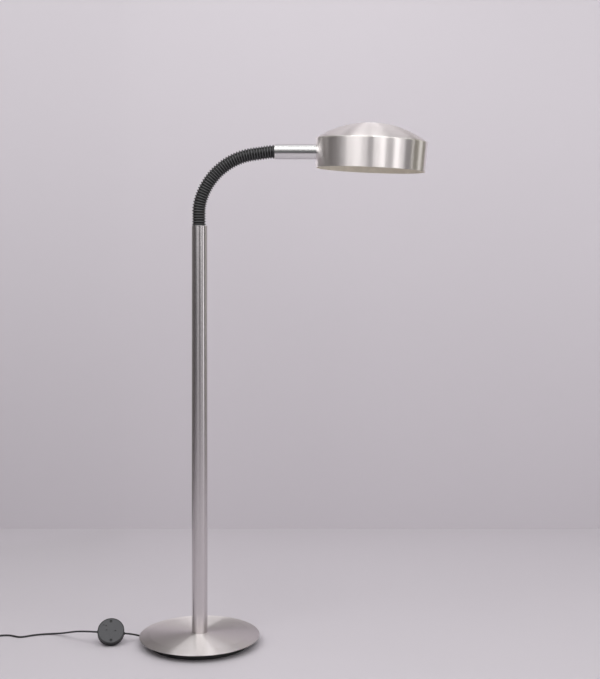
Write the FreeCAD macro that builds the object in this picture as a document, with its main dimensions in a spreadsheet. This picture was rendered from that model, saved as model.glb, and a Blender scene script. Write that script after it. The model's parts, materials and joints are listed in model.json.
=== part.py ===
import FreeCAD
import Part
import Sketcher
import math
import os
from FreeCAD import Placement, Rotation, Vector

# Gooseneck reading floor lamp, in millimetres.
# Origin: middle of the flat underside of the base, under the pole.  +Z up, +X from the pole to the shade.

# ---------------------------------------------------------------- driving dimensions
SIZES = {
    # base
    "base_radius": 145.0,        # spun cover, to the outside of its rim
    "base_sheet": 1.5,           # thickness of the cover's sheet
    "base_top": 26.6,            # top of the cover at the pole
    "shoulder_radius": 123.0,    # where its nearly flat top breaks down to the rim
    "shoulder_top": 25.3,
    "base_rim_top": 19.6,        # height that the shoulder would reach at the rim
    "base_lip": 1.9,             # depth of the rim below that height
    "base_edge_round": 1.2,      # rounding of the rim
    "seat_margin": 2.0,          # flat of the cover that stands out round the pole
    "tray_radius": 121.5,        # black ring under the cover
    "tray_wall": 3.0,
    "tray_floor": 2.5,
    "mat_thickness": 1.2,
    "mat_inset": 2.0,
    "boss_margin": 3.0,          # the weight's middle, which meets the cover, beyond the cover's flat
    "weight_web": 6.0,           # thickness that the nut clamps
    "weight_gap": 0.5,           # room between the weight's plate and the cover
    "nut_well": 19.0,            # radius of the well round the nut
    "nut_radius": 14.5,          # over the nut's corners
    "nut_height": 5.0,
    "foot_plug_length": 18.0,
    "bolt_wall": 3.0,            # wall of the hollow stem under the pole
    # pole
    "pole_radius": 19.0,
    "pole_wall": 1.5,
    "pole_top": 1010.0,
    "top_plug_length": 22.0,
    # fits
    "fit": 0.05,                 # radial room of a plug or a thread in its bore
    "seat": 0.2,                 # room between faces that only meet
    # neck
    "neck_offset": 1.7,          # the neck stands this far to the left of the pole's axis
    "rib_pitch": 6.5,
    "rib_crest": 17.1,           # radius over the ribs
    "rib_root": 14.4,            # radius between the ribs
    "crest_half": 1.2,           # half the width of a rib's crest
    "foot_half": 1.45,           # half the width of a rib's foot
    "cover_bore": 11.4,
    "core_radius": 11.0,
    "core_waist": 5.5,
    "core_shoulder": 8.5,        # height of the cup above its ball's centre
    "shoulder_slope": 3.5,
    "ball_radius": 8.0,
    "ball_play": 0.08,
    "cup_lip": 3.5,              # how far the cup reaches round the ball
    "lip_bevel": 1.0,
    "flare_room": 1.7,           # widening of a ball's bore towards the next link
    "stem_radius": 7.4,
    "stem_length": 12.0,
    "rise": 32.0,                # straight foot of the neck
    "first_radius": 105.0,
    "first_turn": 15.0,
    "second_radius": 155.0,
    "second_turn": 66.6,
    # arm and shade
    "arm_length": 100.0,
    "arm_radius": 19.0,
    "arm_wall": 1.5,
    "arm_plug_length": 20.0,
    "end_disc": 8.0,
    "nipple_radius": 5.0,
    "nipple_bore": 3.0,
    "shade_top_radius": 135.6,
    "shade_rim_radius": 132.3,
    "shade_depth": 71.0,
    "shade_dome": 43.4,          # rise of the dome above the drum
    "shade_wall": 1.2,
    "shade_edge_round": 2.6,
    "arm_drop": 33.0,            # the arm meets the drum this far under its upper edge
    "shade_nut_radius": 9.8,
    "shade_nut_height": 4.0,
    # lampholder and bulb
    "holder_length": 50.0,
    "holder_radius": 20.0,
    "holder_rear": 15.0,
    "holder_neck": 14.0,
    "holder_slope": 6.0,
    "socket_depth": 26.0,
    "socket_radius": 14.2,
    "cap_radius": 13.25,
    "cap_length": 25.0,
    "cap_wall": 0.65,
    "cap_slope": 6.3,
    "tip_radius": 4.8,
    "bulb_radius": 30.0,
    "bulb_waist": 24.0,
    "bulb_length": 105.0,
    "glass_wall": 0.9,
    # cord
    "cord_radius": 2.1,
    "cord_lift": 0.1,            # the cord's underside above the floor
    "lead_room": 1.4,            # radial room for the lead in its bores
    "lead_bend": 5.0,
    "gland_angle": 174.0,        # where the cord leaves the base, from +X
    "gland_height": 11.0,
    "gland_body": 4.2,
    "gland_flange": 5.8,
    "flange_thickness": 1.4,
    "relief_length": 15.5,
    "relief_wall": 0.8,
    # foot switch
    "switch_x": -213.0,
    "switch_y": -12.4,
    "switch_turn": 9.0,
    "switch_tip": 134.4,
    "floor_gap": 0.3,
    "switch_radius": 32.0,
    "switch_wall": 2.6,
    "switch_lip": 2.0,
    "switch_side": 14.0,         # height of its upright wall
    "switch_top": 23.0,
    "switch_plate": 2.5,         # thickness of the plate that closes it
    "top_lip": 2.5,
    "button_radius": 17.0,
    "button_top": 29.0,
    "button_play": 0.3,
    "button_flange": 2.6,
    "flange_height": 2.4,
    "button_wall": 2.0,
    "button_round": 1.4,
    "spring_radius": 6.0,
    "spring_wire": 0.45,
    "spring_turns": 6.0,
    "screw_place": 24.3,
    "screw_radius": 1.3,
    "screw_head": 3.4,
    "screw_head_height": 0.7,
    "screw_sink": 1.7,
    "screw_length": 11.0,
    "post_radius": 3.4,
    "port_depth": 11.0,
    "port_radius": 3.6,
    "port_reach": 1.2,
    "port_turn": 6.5,            # the ports and the spots are this far off square to the screws
    "spot_place": 10.6,
    "spot_radius": 2.2,
    "spot_depth": 1.6,
    # coil and plug
    "coil_x": -540.0,
    "coil_y": -2.6,
    "coil_inner": 17.6,
    "coil_gap": 0.45,
    "coil_turns": 3.875,         # turns in each of the two layers
    "coil_tail": 10.0,           # straight end of the coil before the plug
    "gland_run": 7.6,            # straight runs of the cord where it leaves the gland and the switch
    "right_run": 8.9,
    "left_run": 15.2,
    "coil_run": 14.0,
    "plug_length": 36.0,
    "plug_width": 35.3,
    "plug_rear": 14.0,
    "plug_corner": 11.0,
    "plug_round": 2.0,
    "plug_relief": 22.0,
    "plug_relief_radius": 4.6,
    "pin_radius": 2.0,
    "pin_length": 19.0,
    "pin_root": 8.0,             # how deep a pin's thinner root is moulded in
    "root_radius": 1.5,
    "pin_step": 0.3,             # the full pin starts this far from the plug's face
    "pin_bevel": 0.8,
    "pin_spacing": 18.6,
}
SEGMENTS = 15                    # pieces of the neck, each with its own cover and core
RIBS_EACH = 3                    # ribs on each cover


class Size(float):
    """A number that remembers the sheet formula it comes from."""

    def __new__(cls, value, text):
        size = super().__new__(cls, value)
        size.text = text
        return size

    def __add__(self, other):
        return Size(float(self) + float(other), "(%s + %s)" % (text_of(self), text_of(other)))

    def __radd__(self, other):
        return Size(float(other) + float(self), "(%s + %s)" % (text_of(other), text_of(self)))

    def __sub__(self, other):
        return Size(float(self) - float(other), "(%s - %s)" % (text_of(self), text_of(other)))

    def __rsub__(self, other):
        return Size(float(other) - float(self), "(%s - %s)" % (text_of(other), text_of(self)))

    def __mul__(self, other):
        return Size(float(self) * float(other), "(%s * %s)" % (text_of(self), text_of(other)))

    def __rmul__(self, other):
        return Size(float(other) * float(self), "(%s * %s)" % (text_of(other), text_of(self)))

    def __truediv__(self, other):
        return Size(float(self) / float(other), "(%s / %s)" % (text_of(self), text_of(other)))

    def __neg__(self):
        return Size(-float(self), "(0 - %s)" % text_of(self))


def text_of(size):
    """The formula of a size, or the digits of a plain number."""
    return size.text if isinstance(size, Size) else repr(float(size))


def root(size):
    return Size(math.sqrt(size), "sqrt(%s)" % text_of(size))


doc = FreeCAD.newDocument("floor_lamp")
sheet = doc.addObject("Spreadsheet::Sheet", "sizes")
for row, (name, number) in enumerate(SIZES.items(), 1):
    sheet.set("A%d" % row, name)
    sheet.set("B%d" % row, str(number))
    sheet.setAlias("B%d" % row, name)
doc.recompute()


def size(name):
    return Size(SIZES[name], "sizes." + name)


def bind(item, **values):
    """Give an object's properties their numbers, and the formulas that these come from."""
    for name, value in values.items():
        setattr(item, name, float(value))
        if isinstance(value, Size):
            item.setExpression(name, value.text)


# ---------------------------------------------------------------- sketches and turned bodies
def half_arc(centre, start, finish):
    """The arc round centre from start to finish by the short way, and whether it runs clockwise."""
    radius = (start - centre).Length
    first = math.atan2(start.y - centre.y, start.x - centre.x)
    last = math.atan2(finish.y - centre.y, finish.x - centre.x)
    clockwise = (last - first) % (2 * math.pi) > math.pi
    if clockwise:
        first, last = last, first
    circle = Part.Circle(centre, Vector(0, 0, 1), radius)
    return Part.ArcOfCircle(circle, first, last), clockwise


def draw(sketch, corners, arcs=None):
    """Draw a closed outline and tie each corner to the sketch's origin.

    arcs gives, for the edge that leaves a corner, the height of its centre on the upright axis.
    """
    arcs = arcs or {}
    spots = [Vector(float(x), float(y), 0) for x, y in corners]
    edges = []
    for place, start in enumerate(spots):
        finish = spots[(place + 1) % len(spots)]
        if place in arcs:
            curve, clockwise = half_arc(Vector(0, float(arcs[place]), 0), start, finish)
            geometry = sketch.addGeometry(curve, False)
            sketch.addConstraint(Sketcher.Constraint("PointOnObject", geometry, 3, -2))
            edges.append((geometry, 2, 1) if clockwise else (geometry, 1, 2))
        else:
            edges.append((sketch.addGeometry(Part.LineSegment(start, finish), False), 1, 2))
    for place, (geometry, first, last) in enumerate(edges):
        following = edges[(place + 1) % len(edges)]
        sketch.addConstraint(Sketcher.Constraint("Coincident", geometry, last, following[0], following[1]))
    for (x, y), (geometry, first, last) in zip(corners, edges):
        tie(sketch, "DistanceX", geometry, first, x, -2)
        tie(sketch, "DistanceY", geometry, first, y, -1)


def tie(sketch, kind, geometry, end, value, axis):
    """Hold one end of a line at a bound distance from the origin, or on the axis where that is 0."""
    if not isinstance(value, Size) and value == 0:
        sketch.addConstraint(Sketcher.Constraint("PointOnObject", geometry, end, axis))
        return
    number = sketch.addConstraint(Sketcher.Constraint(kind, -1, 1, geometry, end, float(value)))
    if isinstance(value, Size):
        sketch.setExpression("Constraints[%d]" % number, value.text)


def new_body(label, place):
    body = doc.addObject("PartDesign::Body", label)
    body.Placement = place
    return body


def new_sketch(body, label, role):
    """An empty sketch on one of the body's own origin planes."""
    sketch = body.newObject("Sketcher::SketchObject", label)
    plane = [item for item in body.Origin.OriginFeatures if item.Role == role][0]
    sketch.AttachmentSupport = (plane, [""])
    sketch.MapMode = "FlatFace"
    return sketch


def turned(label, corners, arcs=None, place=Placement()):
    """A body whose half section, corners of (radius, height), is turned about its own Z axis."""
    body = new_body(label, place)
    sketch = new_sketch(body, label + "_section", "XZ_Plane")
    draw(sketch, corners, arcs)
    turn = body.newObject("PartDesign::Revolution", label + "_turn")
    turn.Profile = sketch
    turn.ReferenceAxis = (sketch, ["V_Axis"])
    turn.Angle = 360.0
    return body


def rounded(body, radius, *rings):
    """Round the body's circular edges that have these (radius, height) values."""
    doc.recompute()
    base = body.Tip
    names = []
    for number, edge in enumerate(base.Shape.Edges, 1):
        if edge.Degenerated or edge.Curve.TypeId != "Part::GeomCircle":
            continue
        for ring in rings:
            if abs(edge.Curve.Radius - ring[0]) + abs(edge.Curve.Center.z - ring[1]) < 1e-3:
                names.append("Edge%d" % number)
    fillet = body.newObject("PartDesign::Fillet", body.Name + "_round")
    fillet.Base = (base, names)
    bind(fillet, Radius=radius)
    return body


def cylinder(label, radius, height, place=Placement()):
    item = doc.addObject("Part::Cylinder", label)
    bind(item, Radius=radius, Height=height)
    item.Placement = place
    return item


def cut(label, base, tool):
    item = doc.addObject("Part::Cut", label)
    item.Base = base
    item.Tool = tool
    return item


def fused(label, *pieces):
    item = doc.addObject("Part::MultiFuse", label)
    item.Shapes = list(pieces)
    return item


def grouped(label, *pieces):
    """Separate solids of one kind, kept together under one name."""
    item = doc.addObject("Part::Compound", label)
    item.Links = list(pieces)
    return item


def shaped(label, shape):
    item = doc.addObject("Part::Feature", label)
    item.Shape = shape
    return item


def at(x=0.0, y=0.0, z=0.0, turn=None):
    return Placement(Vector(float(x), float(y), float(z)), turn or Rotation())


# ---------------------------------------------------------------- tubes along a route
def arc_between(start, corner, finish):
    """The arc from start to finish that is tangent there to the two lines through corner."""
    middle = (start + finish) * 0.5
    cosine = (finish - start).Length * 0.5 / (corner - start).Length
    crown = middle + (corner - middle) * (cosine / (1.0 + cosine))
    return Part.Arc(start, crown, finish)


def bent_wire(points, bend=None):
    """Straight runs joined by tangent arcs, and the arcs' radii."""
    share = 0.45
    edges = []
    radii = []
    here = points[0]
    for before, corner, after in zip(points, points[1:], points[2:]):
        back = before - corner
        ahead = after - corner
        turn = math.pi - back.getAngle(ahead)
        reach = share * min(back.Length, ahead.Length)
        if bend:
            reach = bend * math.tan(turn / 2)
        start = corner + back.normalize() * reach
        finish = corner + ahead.normalize() * reach
        edges.append(Part.LineSegment(here, start))
        edges.append(arc_between(start, corner, finish))
        radii.append(reach / math.tan(turn / 2))
        here = finish
    edges.append(Part.LineSegment(here, points[-1]))
    return Part.Wire([edge.toShape() for edge in edges]), radii


def tube(label, wire, radius, radii=()):
    """A round cord along a wire, with its volume compared with its section times its length."""
    start = wire.Edges[0]
    first = start.valueAt(start.FirstParameter)
    heading = start.tangentAt(start.FirstParameter)
    section = Part.Wire([Part.Circle(first, heading, float(radius)).toShape()])
    solid = wire.makePipeShell([section], True, False)
    share = solid.Volume / (math.pi * radius ** 2 * wire.Length)
    note = ", least radius %.1f" % min(radii) if radii else ""
    print("%s: length %.1f, volume share %.4f%s" % (label, wire.Length, share, note))
    return shaped(label, solid)


# ---------------------------------------------------------------- base
FIT = size("fit")
SEAT = size("seat")
cord = size("cord_radius")
base_radius = size("base_radius")
base_sheet = size("base_sheet")
base_top = size("base_top")
rim_top = size("base_rim_top")
rim_low = rim_top - size("base_lip")
shoulder_radius = size("shoulder_radius")
shoulder_top = size("shoulder_top")
pole_radius = size("pole_radius")
cover_flat = pole_radius + size("seat_margin")
bolt_bore = cord + size("neck_offset") + size("lead_room")
bolt_radius = bolt_bore + size("bolt_wall")
cover_under = base_top - base_sheet
web_under = cover_under - size("weight_web")
nut_under = web_under - size("nut_height")
tray_radius = size("tray_radius")
tray_wall = size("tray_wall")
tray_inner = tray_radius - tray_wall
tray_low = size("mat_thickness")
tray_high = tray_low + size("tray_floor")
cone_fall = (base_top - shoulder_top) / (shoulder_radius - cover_flat)
weight_top = cover_under - (tray_inner - cover_flat) * cone_fall - size("weight_gap")
foot_x = -size("neck_offset")
gland_height = size("gland_height")


def make_base():
    cover = turned("base_cover", [
        (bolt_radius + FIT, base_top),
        (cover_flat, base_top),
        (shoulder_radius, shoulder_top),
        (base_radius, rim_top),
        (base_radius, rim_low),
        (base_radius - base_sheet, rim_low),
        (base_radius - base_sheet, rim_top - base_sheet),
        (shoulder_radius, shoulder_top - base_sheet),
        (cover_flat, cover_under),
        (bolt_radius + FIT, cover_under),
    ])
    rounded(cover, size("base_edge_round"), (base_radius, rim_top))

    turned("base_mat", [(0, 0), (tray_radius - size("mat_inset"), 0),
                        (tray_radius - size("mat_inset"), tray_low), (0, tray_low)])

    tray = turned("base_tray_shell", [
        (0, tray_low),
        (tray_radius, tray_low),
        (tray_radius, cover_under - (tray_radius - cover_flat) * cone_fall - SEAT),
        (tray_inner, cover_under - (tray_radius - cover_flat) * cone_fall - SEAT),
        (tray_inner, tray_high),
        (0, tray_high),
    ])
    weight = turned("base_weight_disc", [
        (bolt_radius + FIT, cover_under),
        (cover_flat, cover_under),
        (cover_flat + size("boss_margin"), cover_under - size("boss_margin") * cone_fall),
        (cover_flat + size("boss_margin"), weight_top),
        (tray_inner - SEAT, weight_top),
        (tray_inner - SEAT, tray_high + SEAT),
        (size("nut_well"), tray_high + SEAT),
        (size("nut_well"), web_under),
        (bolt_radius + FIT, web_under),
    ])
    # The lead runs out to the gland in a groove of the weight and through a hole in the ring.
    hole = cylinder("gland_hole", size("gland_body") + FIT, tray_wall * 4,
                    gland_place(tray_inner - tray_wall * 2))
    cut("base_tray", tray, hole)
    groove = cylinder("lead_groove", cord + size("lead_room"), tray_inner, gland_place(0))
    pocket = cylinder("gland_pocket", size("gland_flange") + SEAT, tray_wall * 4,
                      gland_place(tray_inner - tray_wall * 2))
    cut("base_weight", weight, fused("weight_cuts", groove, pocket))


def gland_place(distance):
    """Out along the lead, this far from where it turns up into the pole."""
    angle = SIZES["gland_angle"]
    turn = Rotation(Vector(0, 0, 1), angle) * Rotation(Vector(0, 1, 0), 90)
    along = Vector(math.cos(math.radians(angle)), math.sin(math.radians(angle)), 0)
    return Placement(Vector(float(foot_x), 0, float(gland_height)) + along * float(distance), turn)


wall_distance = tray_radius - size("neck_offset")
gland_tip = wall_distance + size("flange_thickness") + size("relief_length")


def make_gland():
    """A bush in the ring's wall with a tapered end round the cord."""
    flange = size("flange_thickness")
    outer = wall_distance + SEAT
    inner = wall_distance - tray_wall - SEAT
    turned("cord_gland", [
        (cord + FIT, inner - flange),
        (size("gland_flange"), inner - flange),
        (size("gland_flange"), inner),
        (size("gland_body"), inner),
        (size("gland_body"), outer),
        (size("gland_flange"), outer),
        (size("gland_flange"), outer + flange),
        (size("gland_body"), outer + flange),
        (cord + size("relief_wall"), gland_tip),
        (cord + FIT, gland_tip),
    ], place=gland_place(0))


# ---------------------------------------------------------------- pole
pole_top = size("pole_top")
pole_inner = pole_radius - size("pole_wall")


def hexagon(label, corner_radius, height, bore, place):
    """A nut: a six-sided prism with a round hole."""
    prism = doc.addObject("Part::Prism", label + "_prism")
    prism.Polygon = 6
    bind(prism, Circumradius=corner_radius, Height=height)
    prism.Placement = place
    return cut(label, prism, cylinder(label + "_hole", bore, height, place))


def make_pole():
    turned("pole", [(pole_inner, base_top), (pole_radius, base_top),
                    (pole_radius, pole_top), (pole_inner, pole_top)])
    foot_top = base_top + size("foot_plug_length")
    turned("pole_foot_plug", [
        (bolt_bore, nut_under - SEAT),
        (bolt_radius, nut_under - SEAT),
        (bolt_radius, base_top),
        (pole_inner - FIT, base_top),
        (pole_inner - FIT, foot_top),
        (bolt_bore, foot_top),
    ])
    hexagon("pole_nut", size("nut_radius"), size("nut_height"), bolt_radius + FIT, at(z=nut_under))
    block = cylinder("top_plug_block", pole_inner - FIT, size("top_plug_length"),
                     at(z=pole_top - size("top_plug_length")))
    socket = cylinder("top_plug_socket", size("stem_radius") + FIT, size("top_plug_length"),
                      at(x=foot_x, z=pole_top - size("top_plug_length")))
    cut("pole_top_plug", block, socket)


# ---------------------------------------------------------------- neck
piece = float(size("rib_pitch")) * RIBS_EACH
neck_length = piece * SEGMENTS
rise = SIZES["rise"]
first_turn = math.radians(SIZES["first_turn"])
second_turn = math.radians(SIZES["second_turn"])
first_length = SIZES["first_radius"] * first_turn
second_length = SIZES["second_radius"] * second_turn
level_length = neck_length - piece
slope_length = level_length - rise - first_length - second_length
last_turn = math.pi / 2 - first_turn - second_turn
neck_runs = [
    (rise, 0.0),
    (first_length, first_turn),
    (second_length, second_turn),
    (slope_length, 0.0),
    (piece, last_turn),
]


def neck_point(distance):
    """The neck's middle at this distance from the pole, and its heading from upright towards +X."""
    here = Vector(float(foot_x), 0, float(pole_top))
    heading = 0.0
    for length, turn in neck_runs:
        step = min(distance, length)
        swing = turn * step / length
        chord = step if swing == 0 else 2 * (step / swing) * math.sin(swing / 2)
        middle = heading + swing / 2
        here = here + Vector(math.sin(middle), 0, math.cos(middle)) * chord
        heading += swing
        distance -= step
        if distance <= 0:
            break
    return here, heading


pivots = [neck_point(piece * number)[0] for number in range(SEGMENTS + 1)]
last_slope = math.atan2(pivots[-1].z - pivots[-2].z, pivots[-1].x - pivots[-2].x)


def link_place(number):
    """A link's own frame: its lower pivot, with Z towards the next one."""
    along = pivots[number] - pivots[number - 1]
    tilt = math.degrees(math.atan2(along.x, along.z))
    return Placement(pivots[number - 1], Rotation(Vector(0, 1, 0), tilt))


def neck_ring(radius, distance):
    """A circle round the neck's middle, its X axis always across the neck's plane."""
    centre, heading = neck_point(distance)
    axis = Vector(math.sin(heading), 0, math.cos(heading))
    ring = Part.Circle(centre, axis, radius)
    ring.XAxis = Vector(0, 1, 0)
    return Part.Wire([ring.toShape()])


def make_neck_cover(number):
    """Three ribs of the black hose, following the neck, on a straight bore."""
    rings = []
    start = (number - 1) * piece
    for rib in range(RIBS_EACH):
        middle = start + (rib + 0.5) * SIZES["rib_pitch"]
        rings.append(neck_ring(SIZES["rib_root"], middle - SIZES["foot_half"]))
        rings.append(neck_ring(SIZES["rib_crest"], middle - SIZES["crest_half"]))
        rings.append(neck_ring(SIZES["rib_crest"], middle + SIZES["crest_half"]))
        rings.append(neck_ring(SIZES["rib_root"], middle + SIZES["foot_half"]))
    outside = Part.makeLoft(rings, True, True)
    bore = Part.makeCylinder(SIZES["cover_bore"], 2 * piece, Vector(0, 0, -piece / 2))
    bore.Placement = link_place(number)
    shaped("neck_cover_%02d" % number, outside.cut(bore))


def make_neck_core(number):
    """One link of the neck: a cup round the ball below it, and its own ball at the next pivot.

    The first link has a stem in the pole instead of a cup, the last a stem in the arm instead of a ball.
    """
    core = size("core_radius")
    ball = size("ball_radius")
    cup = ball + size("ball_play")
    bore = cord + size("lead_room")
    flare = bore + size("flare_room")
    waist = size("core_waist")
    lip = size("cup_lip")
    bevel = size("lip_bevel")
    shoulder = size("core_shoulder")
    step = size("rib_pitch") * RIBS_EACH
    stem = size("stem_radius")
    foot = [
        (bore, -size("stem_length")),
        (stem, -size("stem_length")),
        (stem, 0),
        (core, 0),
    ]
    mouth = [
        (root(cup * cup - lip * lip), -lip),
        (core - bevel, -lip),
        (core, -lip + bevel * 2),
    ]
    head = [
        (core, shoulder),
        (waist, shoulder + size("shoulder_slope")),
        (waist, step - root(ball * ball - waist * waist)),
        (flare, step + root(ball * ball - flare * flare)),
        (bore, step),
    ]
    slack = core * math.sin(last_slope) + SEAT
    tail = [
        (core, step - slack),
        (stem, step - slack),
        (stem, step + size("stem_length")),
        (bore, step + size("stem_length")),
    ]
    roof = [(bore, root(cup * cup - bore * bore))]
    if number == 1:
        corners = foot + head
        arcs = {6: step}
    elif number == SEGMENTS:
        corners = mouth + tail + roof
        arcs = {7: 0.0}
    else:
        corners = mouth + head + roof
        arcs = {5: step, 8: 0.0}
    turned("neck_core_%02d" % number, corners, arcs, link_place(number))


def make_neck_lead():
    """The lead inside the neck, from the first pivot to just short of the last."""
    first_end = rise + first_length
    stops = [piece, rise, first_end, first_end + second_length, level_length - SEAT]
    edges = []
    for start, finish in zip(stops, stops[1:]):
        first = neck_point(start)[0]
        middle = neck_point((start + finish) / 2)[0]
        last = neck_point(finish)[0]
        straight = abs(neck_point(start)[1] - neck_point(finish)[1]) < 1e-9
        edge = Part.LineSegment(first, last) if straight else Part.Arc(first, middle, last)
        edges.append(edge.toShape())
    tube("neck_lead", Part.Wire(edges), cord)


# ---------------------------------------------------------------- arm, shade and light
arm_start = pivots[SEGMENTS]
arm_length = size("arm_length")
arm_radius = size("arm_radius")
arm_inner = arm_radius - size("arm_wall")
shade_wall = size("shade_wall")
top_radius = size("shade_top_radius")
rim_radius = size("shade_rim_radius")
shade_depth = size("shade_depth")
nipple = size("nipple_radius")
drum_draft = (top_radius - rim_radius) / shade_depth
shade_tilt = math.degrees(math.atan(drum_draft))
drum_radius = top_radius - size("arm_drop") * drum_draft
arm_turn = Rotation(Vector(0, 1, 0), 90)
arm_place = Placement(arm_start, arm_turn)
nut_corner = size("shade_nut_radius")
saddle = drum_radius - root(drum_radius * drum_radius - nut_corner * nut_corner)
nut_start = arm_length + shade_wall + saddle + FIT
holder_start = nut_start + size("shade_nut_height") + SEAT
tip_height = holder_start + size("holder_length") - size("socket_depth") + SEAT


def shade_place():
    """The shade's frame: the middle of its upper edge, tilted so that the arm meets its wall squarely."""
    turn = Rotation(Vector(0, 1, 0), shade_tilt)
    meeting = arm_start + Vector(float(arm_length), 0, 0)
    return Placement(meeting - turn.multVec(Vector(-float(drum_radius), 0, -SIZES["arm_drop"])), turn)


def make_arm():
    blank = turned("arm_blank", [(arm_inner, 0), (arm_radius, 0),
                                 (arm_radius, arm_length + size("arm_wall") * 2),
                                 (arm_inner, arm_length + size("arm_wall") * 2)], place=arm_place)
    drum = doc.addObject("Part::Cone", "arm_cope")
    bind(drum, Radius1=rim_radius + FIT, Radius2=top_radius + FIT, Height=shade_depth)
    drum.Placement = shade_place() * at(z=-shade_depth)
    cut("arm_tube", blank, drum)

    socket = size("stem_radius") + size("stem_length") * math.sin(last_slope) + FIT * 2
    turned("arm_plug", [(socket, SEAT), (arm_inner - FIT, SEAT),
                        (arm_inner - FIT, size("arm_plug_length")),
                        (socket, size("arm_plug_length"))], place=arm_place)
    turned("arm_end_plug", [
        (size("nipple_bore"), arm_length - SEAT - size("end_disc")),
        (arm_inner - FIT, arm_length - SEAT - size("end_disc")),
        (arm_inner - FIT, arm_length - SEAT),
        (nipple, arm_length - SEAT),
        (nipple, holder_start + size("holder_neck") / 2),
        (size("nipple_bore"), holder_start + size("holder_neck") / 2),
    ], place=arm_place)


def make_shade():
    """A drum with a slight draft under a shallow dome, open below, with one hole for the arm's nipple."""
    dome = size("shade_dome")
    sphere = (top_radius * top_radius + dome * dome) / (dome * 2)
    centre = dome - sphere
    inner = sphere - shade_wall
    inner_rim = top_radius - shade_wall
    shell = turned("shade_shell", [
        (0, dome),
        (top_radius, 0),
        (rim_radius, -shade_depth),
        (rim_radius - shade_wall, -shade_depth),
        (inner_rim, centre + root(inner * inner - inner_rim * inner_rim)),
        (0, dome - shade_wall),
    ], {0: centre, 4: centre}, shade_place())
    rounded(shell, size("shade_edge_round"), (top_radius, 0))
    hole = cylinder("shade_hole", nipple + FIT, shade_wall * 10,
                    arm_place * at(z=arm_length - shade_wall * 5))
    cut("shade", shell, hole)

    # The nut's flat face meets the round wall at its corners.
    hexagon("shade_nut", nut_corner, size("shade_nut_height"), nipple + FIT, arm_place * at(z=nut_start))


def make_light():
    rear = size("holder_rear")
    outer = size("holder_radius")
    neck = holder_start + size("holder_neck")
    front = holder_start + size("holder_length")
    socket = front - size("socket_depth")
    turned("lampholder", [
        (nipple + FIT, holder_start),
        (rear, holder_start),
        (rear, neck),
        (outer, neck + size("holder_slope")),
        (outer, front),
        (size("socket_radius"), front),
        (size("socket_radius"), socket),
        (nipple + FIT, socket),
    ], place=arm_place)

    cap = size("cap_radius")
    wall = size("cap_wall")
    tip = size("tip_radius")
    cap_end = tip_height + size("cap_length")
    slope = size("cap_slope")
    turned("bulb_cap", [
        (0, tip_height),
        (tip, tip_height),
        (tip, tip_height + wall * 2),
        (cap, tip_height + slope),
        (cap, cap_end),
        (cap - wall, cap_end),
        (cap - wall, tip_height + slope + wall),
        (tip - wall, tip_height + wall * 3),
        (0, tip_height + wall * 3),
    ], place=arm_place)

    glass = size("glass_wall")
    neck_radius = cap - wall - FIT
    ball = size("bulb_radius")
    inner = ball - glass
    waist = size("bulb_waist")
    middle = tip_height + size("bulb_length") - ball
    outer_waist = middle - root(ball * ball - waist * waist)
    inner_waist = middle - root(inner * inner - (waist - glass) * (waist - glass))
    inside = tip_height + slope + wall * 2
    turned("bulb_glass", [
        (neck_radius, inside),
        (neck_radius, cap_end),
        (waist, outer_waist),
        (0, middle + ball),
        (0, middle + inner),
        (waist - glass, inner_waist),
        (neck_radius - glass, cap_end),
        (neck_radius - glass, inside),
    ], {2: middle, 4: middle}, arm_place)


def make_leads():
    """The lead from the gland up the pole, and the one from the neck to the lampholder."""
    out = gland_place(gland_tip).Base
    foot = Vector(float(foot_x), 0, float(gland_height))
    wire, radii = bent_wire([out, foot, pivots[1]], SIZES["lead_bend"])
    tube("pole_lead", wire, cord, radii)
    end = arm_start + Vector(float(holder_start + size("holder_neck")), 0, 0)
    wire, radii = bent_wire([pivots[-2], pivots[-1], end])
    tube("head_lead", wire, cord, radii)


# ---------------------------------------------------------------- foot switch
def switch_place():
    """The switch lies on its rim and its button: its frame starts at the closing plate, Z to the button."""
    turn = Rotation(Vector(0, 0, 1), SIZES["switch_turn"])
    tip = Rotation(Vector(1, 0, 0), -SIZES["switch_tip"])
    down = math.sin(math.radians(SIZES["switch_tip"]))
    deep = -math.cos(math.radians(SIZES["switch_tip"]))
    corners = [(SIZES["switch_radius"], SIZES["switch_side"]),
               (SIZES["button_radius"], SIZES["button_top"])]
    height = max(radius * down + depth * deep for radius, depth in corners) + SIZES["floor_gap"]
    return Placement(Vector(SIZES["switch_x"], SIZES["switch_y"], height), turn * tip)


def switch_turned():
    """The switch's frame, turned so that its X axis runs through the two ports."""
    return switch_place() * at(turn=Rotation(Vector(0, 0, 1), SIZES["port_turn"]))


def port_place(side):
    """Where the cord meets the switch on its side +1 or -1, Z pointing out of it."""
    reach = SIZES["switch_radius"] + SIZES["port_reach"]
    spot = at(x=side * reach, z=size("port_depth"), turn=Rotation(Vector(0, 1, 0), 90 * side))
    return switch_turned() * spot


# Dimples of the closing plate, (x, y, radius), as the photograph shows them.
DIMPLES = [(-18.2, -15.2, 1.4), (-11.5, -12.7, 2.0)]


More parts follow.
